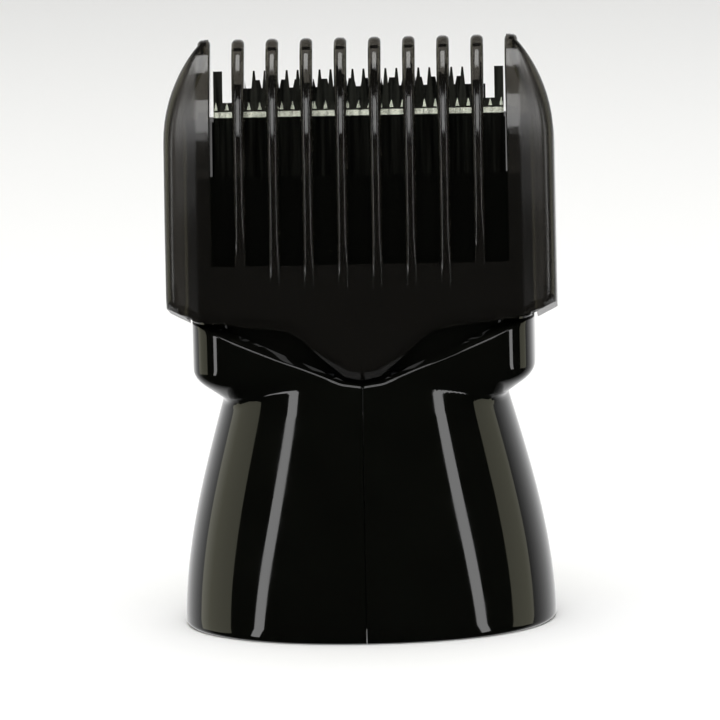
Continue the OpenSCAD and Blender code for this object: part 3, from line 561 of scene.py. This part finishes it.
# ---- Lever boot ----
# A moulded nitrile rubber seal that fills the chassis's opening round the lever and keeps hair out of the
# socket. It is matt, with a dusty bloom.
def nitrile_rubber():
    """Matt black rubber with a dusty bloom."""
    material, tree, shader, place = new_material("nitrile_rubber")
    bloom = put(tree, "TexNoise", {"Vector": place, "Scale": 500, "Detail": 5, "Roughness": 0.6})
    tone = put(tree, "Mix", {"Factor": bloom.outputs["Fac"], "A": srgb("#161616"), "B": srgb("#2a2a29")},
               data_type="RGBA")
    matt = put(tree, "MapRange", {"Value": bloom.outputs["Fac"], "From Min": 0.3, "From Max": 0.7,
                                  "To Min": 0.62, "To Max": 0.8})
    skin = put(tree, "Bump", {"Height": bloom.outputs["Fac"], "Strength": 0.25, "Distance": 0.0001})
    tree.links.new(tone.outputs["Result"], shader.inputs["Base Color"])
    tree.links.new(matt.outputs["Result"], shader.inputs["Roughness"])
    tree.links.new(skin.outputs["Normal"], shader.inputs["Normal"])
    shader.inputs["IOR"].default_value = 1.52
    return material


refinish("lever_boot", nitrile_rubber())


# ---- Screws, pins, springs and bush ----
# Zinc-plated screws, ground pins, spring-steel clip and wire, and an oil-filled bronze bush. Plating mottles
# slightly, drawn wire and ground pins have fine lines, and the sintered bronze is grainy.
def machined_metal(name, dark, light, grain, smooth, rough):
    """Grain is the size of the surface's marks in millimetres."""
    material, tree, shader, place = new_material(name)
    marks = put(tree, "TexNoise", {"Vector": place, "Scale": 1 / (grain * MM), "Detail": 3, "Roughness": 0.6})
    tone = put(tree, "Mix", {"Factor": marks.outputs["Fac"], "A": srgb(dark), "B": srgb(light)},
               data_type="RGBA")
    gloss = put(tree, "MapRange", {"Value": marks.outputs["Fac"], "From Min": 0.3, "From Max": 0.7,
                                   "To Min": smooth, "To Max": rough})
    relief = put(tree, "Bump", {"Height": marks.outputs["Fac"], "Strength": 0.1, "Distance": 0.00003})
    tree.links.new(tone.outputs["Result"], shader.inputs["Base Color"])
    tree.links.new(gloss.outputs["Result"], shader.inputs["Roughness"])
    tree.links.new(relief.outputs["Normal"], shader.inputs["Normal"])
    shader.inputs["Metallic"].default_value = 1
    return material


zinc_plate = machined_metal("zinc_plated_steel", "#a2a6ab", "#c3c7cb", 0.5, 0.24, 0.4)
for node in ("frame_screws", "rear_cover_screws", "blade_screws"):
    refinish(node, zinc_plate)
ground_pin = machined_metal("ground_pin_steel", "#b3b5b8", "#d2d4d6", 0.15, 0.12, 0.24)
for node in ("pivot_pin", "drive_pin"):
    refinish(node, ground_pin)
spring_steel = machined_metal("drawn_spring_steel", "#9b9da1", "#c0c2c5", 0.2, 0.2, 0.36)
for node in ("pivot_clip", "blade_springs"):
    refinish(node, spring_steel)
refinish("lever_bush", machined_metal("sintered_bronze", "#8a6534", "#b78f55", 0.12, 0.35, 0.55))


# ---- Floor and light ----
# A pale sweep that leaves no reflection in the gloss. Each side has a tall strip light and a broad softbox, two
# lights high in front catch the ribs and the blades, and one overhead lights the sweep. The room is dark behind
# the camera.
def stage_floor():
    bm = bmesh.new()
    bmesh.ops.create_circle(bm, cap_ends=True, segments=96, radius=3)
    mesh = bpy.data.meshes.new("floor")
    bm.to_mesh(mesh)
    bm.free()
    floor = bpy.data.objects.new("floor", mesh)
    bpy.context.scene.collection.objects.link(floor)
    material, _, shader, _ = new_material("white_sweep")
    shader.inputs["Base Color"].default_value = (0.9, 0.9, 0.9, 1)
    shader.inputs["Roughness"].default_value = 0.9
    shader.inputs["Specular IOR Level"].default_value = 0.1
    mesh.materials.append(material)
    floor.visible_glossy = False


def softbox(name, around, up, size, radiance, distance=1.0, lean=0, glossy=True, colour="#ffffff"):
    """A rectangular light at angles round from the front and up, which faces the object's middle."""
    lamp = bpy.data.lights.new(name, "AREA")
    lamp.shape = "RECTANGLE"
    lamp.size, lamp.size_y = size
    lamp.energy = radiance * pi * size[0] * size[1]
    lamp.color = srgb(colour)[:3]
    box = bpy.data.objects.new(name, lamp)
    bpy.context.scene.collection.objects.link(box)
    a, e = radians(around), radians(up)
    away = Vector((sin(a) * cos(e), -cos(a) * cos(e), sin(e)))
    turn = (-away).to_track_quat("-Z", "Y").to_matrix() @ Matrix.Rotation(radians(lean), 3, "Z")
    box.matrix_world = Matrix.Translation(Vector((0, 0, 0.03)) + away * distance) @ turn.to_4x4()
    box.visible_glossy = glossy
    box.visible_camera = False


def room():
    """White to the camera. To everything else it is dark in front and grows bright behind the object."""
    world = bpy.data.worlds.new("room")
    bpy.context.scene.world = world
    world.use_nodes = True
    tree = world.node_tree
    tree.nodes.clear()
    way = put(tree, "SeparateXYZ", {"Vector": put(tree, "TexCoord").outputs["Generated"]})
    behind = put(tree, "MapRange", {"Value": way.outputs["Y"], "From Min": 0.3, "From Max": 0.9,
                                    "To Min": 0.004, "To Max": 1.0})
    seen = put(tree, "LightPath").outputs["Is Camera Ray"]
    strength = put(tree, "Mix", {"Factor": seen, "A": behind.outputs["Result"], "B": 1.0}, data_type="FLOAT")
    glow = put(tree, "Background", {"Color": (1, 1, 1, 1), "Strength": strength.outputs["Result"]})
    put(tree, "OutputWorld", {"Surface": glow.outputs["Background"]})


stage_floor()
room()
bpy.context.scene.view_settings.view_transform = "Standard"
softbox("strip_left", -52, 8, (0.12, 1.1), 3.6, lean=-22)
softbox("strip_right", 53, 8, (0.13, 1.1), 3.6, lean=21)
softbox("broad_left", -102, 14, (0.75, 1.2), 0.8, colour="#fffde0")
softbox("broad_right", 100, 14, (0.5, 1.2), 0.8, colour="#fffde0")
softbox("front_high", 0, 31, (0.6, 0.2), 3.4)
softbox("front_top", 0, 60, (0.6, 0.3), 4.5)
softbox("overhead", 0, 88, (1.6, 1.6), 1.8, glossy=False)
